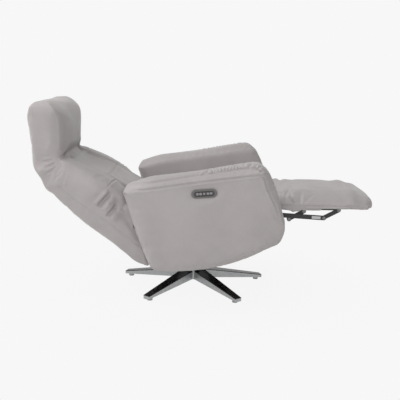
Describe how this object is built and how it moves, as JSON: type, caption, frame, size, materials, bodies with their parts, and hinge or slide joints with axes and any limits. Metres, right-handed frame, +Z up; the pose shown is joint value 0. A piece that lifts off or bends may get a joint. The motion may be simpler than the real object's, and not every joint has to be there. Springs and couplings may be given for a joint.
{
  "type": "swivel recliner",
  "caption": "Upholstered reclining armchair on a star base: tilting seat, folding back, hinged headrest and a leg rest on a scissor linkage, with a button panel in the right arm.",
  "frame": {"origin": "on the swivel axis at floor level", "axes": "+X the sitter's forward (towards the leg rest), +Y the sitter's left, +Z up; stored fully reclined as in the picture"},
  "size_m": [1.4922, 0.8193, 0.853],
  "materials": {
    "leather": "soft matt grain",
    "gloss_black": "gloss",
    "silver": "satin",
    "steel_black": "satin black",
    "steel_bright": "zinc plated",
    "column_silver": "polished",
    "plywood": "raw",
    "webbing": "woven",
    "motor_black": "matt",
    "panel_grey": "satin",
    "button_dark": "satin",
    "glide": "matt",
    "plate_bare": "brushed"
  },
  "bodies": {
    "base": {"star_base": "silver", "leg_inlays": "gloss_black", "floor_glides": "glide", "column": "column_silver", "hub_collar": "gloss_black", "bearing_ring_lower": "steel_bright", "bearing_balls": "steel_bright", "king_bolt": "steel_bright"},
    "swivel_frame": {"swivel_plate": "steel_black", "swivel_arms": "steel_black", "bearing_ring_upper": "steel_bright", "tilt_guide": "steel_black", "tilt_pin": "steel_bright"},
    "seat_unit": {"side_plates": "steel_black", "front_cross_tube": "steel_black", "rear_cross_tube": "steel_black", "side_beams": "plywood", "front_rail": "plywood", "seat_straps": "webbing", "pivot_bolts": "steel_bright", "seat_cushion": "leather", "arm_left": "leather", "arm_right": "leather", "arm_boards": "plywood", "control_bezel": "panel_grey", "legrest_motor": "motor_black", "recline_motor": "motor_black", "control_unit": "motor_black"},
    "back": {"back_shell": "leather", "back_panel": "plywood", "back_arms": "steel_black", "torque_tube": "steel_black", "back_lever_pins": "steel_bright", "back_cushion": "leather", "back_bolster_left": "leather", "back_bolster_right": "leather", "headrest_hinge_plates": "steel_black"},
    "headrest": {"headrest_frame": "steel_black", "headrest_cushion": "leather"},
    "leg_bars": {"long_bar_left": "steel_black", "long_bar_right": "steel_black", "bar_rivets": "steel_bright", "drive_tube": "steel_black", "bar_plate": "plate_bare"},
    "front_elbows": {"front_links": "steel_black"},
    "rear_elbows": {"rear_links": "steel_black"},
    "legrest": {"legrest_board": "plywood", "legrest_brackets": "steel_black", "legrest_rivets": "steel_bright", "legrest_cushion": "leather", "legrest_flap": "leather"},
    "legrest_rod": {"legrest_rod": "steel_bright"},
    "recline_rod": {"recline_rod": "steel_bright"},
    "button_back_down": {"button_back_down": "button_dark"},
    "button_back_up": {"button_back_up": "button_dark"},
    "button_home": {"button_home": "button_dark"},
    "button_legrest_in": {"button_legrest_in": "button_dark"},
    "button_legrest_out": {"button_legrest_out": "button_dark"}
  },
  "joints": [
    {"name": "swivel", "type": "hinge", "parent": "base", "child": "swivel_frame", "pos_m": [0, 0, 0.155], "axis": [0, 0, 1], "continuous": true},
    {"name": "seat_tilt", "type": "hinge", "parent": "swivel_frame", "child": "seat_unit", "pos_m": [0.2, 0, 0.225], "axis": [0, 1, 0], "range_deg": [0, 9.6]},
    {"name": "back_recline", "type": "hinge", "parent": "seat_unit", "child": "back", "pos_m": [-0.215, 0, 0.35], "axis": [0, 1, 0], "range_deg": [0, 32.4]},
    {"name": "headrest_tilt", "type": "hinge", "parent": "back", "child": "headrest", "pos_m": [-0.628, 0, 0.575], "axis": [0, 1, 0], "range_deg": [-46, 0]},
    {"name": "legrest_open", "type": "hinge", "parent": "seat_unit", "child": "leg_bars", "pos_m": [0.30855, 0, 0.4107], "axis": [0, 1, 0], "range_deg": [0, 80]},
    {"name": "front_elbow", "type": "hinge", "parent": "leg_bars", "child": "front_elbows", "pos_m": [0.562, 0, 0.384], "axis": [0, 1, 0], "range_deg": [-120, 0]},
    {"name": "rear_elbow", "type": "hinge", "parent": "leg_bars", "child": "rear_elbows", "pos_m": [0.411, 0, 0.375], "axis": [0, 1, 0], "range_deg": [-120, 0]},
    {"name": "pad_turn", "type": "hinge", "parent": "front_elbows", "child": "legrest", "pos_m": [0.626, 0, 0.419], "axis": [0, 1, 0], "range_deg": [0, 120]},
    {"name": "legrest_drive", "type": "slide", "parent": "seat_unit", "child": "legrest_rod", "axis": [0.986, 0, 0.1668], "range_m": [-0.07714, 0]},
    {"name": "recline_drive", "type": "slide", "parent": "seat_unit", "child": "recline_rod", "axis": [0.986, 0, 0.1668], "range_m": [-0.05581, 0]},
    {"name": "press_back_down", "type": "slide", "parent": "seat_unit", "child": "button_back_down", "axis": [0, 1, 0], "range_m": [0, 0.001], "stiffness_N_per_m": 400, "springref_m": -0.0005},
    {"name": "press_back_up", "type": "slide", "parent": "seat_unit", "child": "button_back_up", "axis": [0, 1, 0], "range_m": [0, 0.001], "stiffness_N_per_m": 400, "springref_m": -0.0005},
    {"name": "press_home", "type": "slide", "parent": "seat_unit", "child": "button_home", "axis": [0, 1, 0], "range_m": [0, 0.001], "stiffness_N_per_m": 400, "springref_m": -0.0005},
    {"name": "press_legrest_in", "type": "slide", "parent": "seat_unit", "child": "button_legrest_in", "axis": [0, 1, 0], "range_m": [0, 0.001], "stiffness_N_per_m": 400, "springref_m": -0.0005},
    {"name": "press_legrest_out", "type": "slide", "parent": "seat_unit", "child": "button_legrest_out", "axis": [0, 1, 0], "range_m": [0, 0.001], "stiffness_N_per_m": 400, "springref_m": -0.0005}
  ],
  "couplings": [
    {"joint": "seat_tilt", "follows": "back_recline", "ratio": 0.2963},
    {"joint": "recline_drive", "follows": "back_recline", "m_per_rad": -0.098673},
    {"joint": "front_elbow", "follows": "legrest_open", "ratio": -1.5},
    {"joint": "rear_elbow", "follows": "legrest_open", "ratio": -1.5},
    {"joint": "pad_turn", "follows": "legrest_open", "ratio": 1.5},
    {"joint": "legrest_drive", "follows": "legrest_open", "m_per_rad": -0.055244}
  ]
}
